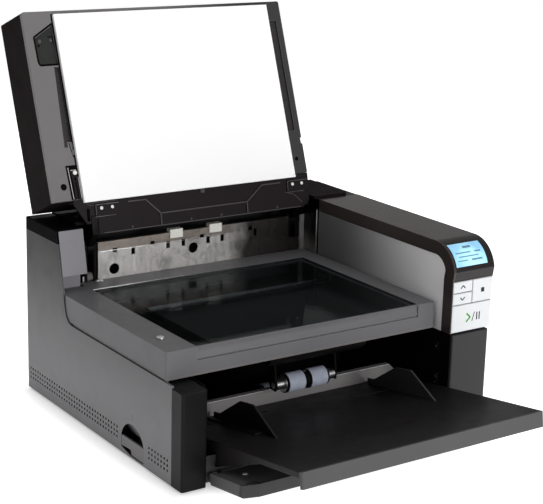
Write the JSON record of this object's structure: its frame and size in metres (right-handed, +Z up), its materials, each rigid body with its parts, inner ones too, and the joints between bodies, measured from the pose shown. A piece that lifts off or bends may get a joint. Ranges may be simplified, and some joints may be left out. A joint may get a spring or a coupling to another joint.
{
  "type": "document scanner",
  "caption": "Flatbed document scanner with a hinged cover, a sloping sheet feed tray with side guides, and a control pod with a small display and push buttons.",
  "frame": {"origin": "middle of the case's footprint, on the surface that the feet stand on", "axes": "+Z up, +Y to the back, +X to the machine's right as its user sees it from the front"},
  "size_m": [0.432, 0.5888, 0.4617],
  "materials": {
    "graphite_plastic": "fine matte",
    "black_plastic": "fine matte",
    "dark_plastic": "fine matte",
    "light_grey_plastic": "fine matte",
    "gloss_black": "gloss",
    "button_plastic": "satin",
    "display": "gloss",
    "pad_white": "matte",
    "galvanised_steel": "galvanised",
    "bright_steel": "satin",
    "dark_steel": "painted",
    "aluminium_can": "satin",
    "rubber": "matte",
    "foot_rubber": "matte",
    "platen": "clear",
    "clip_white": "matte",
    "board_green": "satin"
  },
  "bodies": {
    "case": {"base_pan": "dark_plastic", "rubber_feet": "foot_rubber", "left_side_cover": "graphite_plastic", "tower_front_cover": "light_grey_plastic", "tower_cap": "black_plastic", "right_side_cover": "graphite_plastic", "rear_cover": "graphite_plastic", "top_deck": "dark_plastic", "front_left_pillar": "black_plastic", "front_right_panel": "graphite_plastic", "pod_shell": "gloss_black", "pod_side_panel": "graphite_plastic", "display_bezel": "gloss_black", "lcd_window": "display", "button_plate": "dark_plastic", "control_board": "board_green", "rear_plate": "galvanised_steel", "plate_tabs": "clip_white", "rear_beam": "galvanised_steel", "hinge_brackets": "dark_steel", "hinge_pins": "bright_steel", "feed_bay": "dark_plastic", "front_fascia": "light_grey_plastic", "feed_ramp": "light_grey_plastic", "feed_motor": "aluminium_can", "power_supply": "galvanised_steel", "main_board": "board_green", "mains_inlet": "black_plastic", "usb_socket": "bright_steel", "switch_frame": "black_plastic"},
    "flatbed": {"flatbed_frame": "graphite_plastic", "flatbed_tub": "dark_plastic", "platen_glass": "platen", "lid_bumper": "bright_steel", "feed_housing": "dark_plastic", "carriage_rails": "bright_steel"},
    "carriage": {"scan_carriage": "black_plastic"},
    "feed_roller": {"feed_roller": "bright_steel", "feed_tyres": "rubber"},
    "lid": {"lid_shell": "dark_plastic", "lid_inner_frame": "light_grey_plastic", "lid_pad": "pad_white", "lid_tail": "dark_plastic", "lid_arms": "galvanised_steel", "arm_screw_plates": "graphite_plastic"},
    "tray": {"tray_plate": "dark_plastic"},
    "extender": {"tray_extender": "graphite_plastic"},
    "left_guide": {"left_guide": "black_plastic"},
    "right_guide": {"right_guide": "black_plastic"},
    "pinion": {"guide_pinion": "black_plastic"},
    "flap": {"front_flap": "graphite_plastic", "flap_liner": "black_plastic"},
    "lever": {"release_lever": "light_grey_plastic"},
    "up_button": {"up_button": "button_plastic"},
    "down_button": {"down_button": "button_plastic"},
    "stop_button": {"stop_button": "button_plastic"},
    "start_button": {"start_button": "button_plastic"},
    "rocker": {"power_switch": "black_plastic"},
    "separation_roller": {"separation_roller": "rubber"},
    "transport_roller": {"transport_roller": "rubber"}
  },
  "joints": [
    {"name": "lid_hinge", "type": "hinge", "parent": "case", "child": "lid", "pos_m": [0, 0.1296, 0.1862], "axis": [-1, 0, 0], "range_deg": [-110.2, 0]},
    {"name": "flatbed_lift", "type": "hinge", "parent": "case", "child": "flatbed", "pos_m": [0, 0.13, 0.149], "axis": [-1, 0, 0], "range_deg": [0, 25]},
    {"name": "carriage_slide", "type": "slide", "parent": "flatbed", "child": "carriage", "axis": [1, 0, 0], "range_m": [0, 0.262]},
    {"name": "feed_roller_spin", "type": "hinge", "parent": "flatbed", "child": "feed_roller", "pos_m": [-0.0125, -0.116, 0.0696], "axis": [1, 0, 0], "continuous": true},
    {"name": "separation_roller_spin", "type": "hinge", "parent": "case", "child": "separation_roller", "pos_m": [-0.0125, -0.066, 0.042], "axis": [1, 0, 0], "continuous": true},
    {"name": "transport_roller_spin", "type": "hinge", "parent": "case", "child": "transport_roller", "pos_m": [-0.0116, -0.02, 0.07], "axis": [1, 0, 0], "continuous": true},
    {"name": "tray_lift", "type": "slide", "parent": "case", "child": "tray", "axis": [0, 0, 1], "range_m": [0, 0.01]},
    {"name": "extender_slide", "type": "slide", "parent": "tray", "child": "extender", "axis": [0, -0.989, 0.1478], "range_m": [0, 0.055]},
    {"name": "left_guide_slide", "type": "slide", "parent": "tray", "child": "left_guide", "axis": [-1, 0, 0], "range_m": [-0.056, 0.032]},
    {"name": "right_guide_slide", "type": "slide", "parent": "tray", "child": "right_guide", "axis": [1, 0, 0], "range_m": [-0.0561, 0.0321]},
    {"name": "pinion_spin", "type": "hinge", "parent": "tray", "child": "pinion", "pos_m": [-0.007, -0.12323, 0.03537], "axis": [0, 0.1478, 0.989], "range_deg": [-405, 232]},
    {"name": "flap_hinge", "type": "hinge", "parent": "case", "child": "flap", "pos_m": [0, -0.1815, 0.009], "axis": [-1, 0, 0], "range_deg": [0, 12]},
    {"name": "lever_pivot", "type": "hinge", "parent": "case", "child": "lever", "pos_m": [-0.211, -0.0801, 0.0122], "axis": [0, -1, 0], "range_deg": [0, 18], "stiffness_Nm_per_rad": 0.02, "springref_deg": -17.19},
    {"name": "rocker_pivot", "type": "hinge", "parent": "case", "child": "rocker", "pos_m": [0.188, 0.18, 0.032], "axis": [1, 0, 0], "range_deg": [-7, 7]},
    {"name": "up_button_press", "type": "slide", "parent": "case", "child": "up_button", "axis": [0, 1, 0], "range_m": [0, 0.001], "stiffness_N_per_m": 300, "springref_m": -0.001},
    {"name": "down_button_press", "type": "slide", "parent": "case", "child": "down_button", "axis": [0, 1, 0], "range_m": [0, 0.001], "stiffness_N_per_m": 300, "springref_m": -0.001},
    {"name": "stop_button_press", "type": "slide", "parent": "case", "child": "stop_button", "axis": [0, 1, 0], "range_m": [0, 0.001], "stiffness_N_per_m": 300, "springref_m": -0.001},
    {"name": "start_button_press", "type": "slide", "parent": "case", "child": "start_button", "axis": [0, 1, 0], "range_m": [0, 0.001], "stiffness_N_per_m": 300, "springref_m": -0.001}
  ],
  "couplings": [
    {"joint": "right_guide_slide", "follows": "left_guide_slide", "ratio": 1},
    {"joint": "pinion_spin", "follows": "left_guide_slide", "rad_per_m": 125}
  ]
}
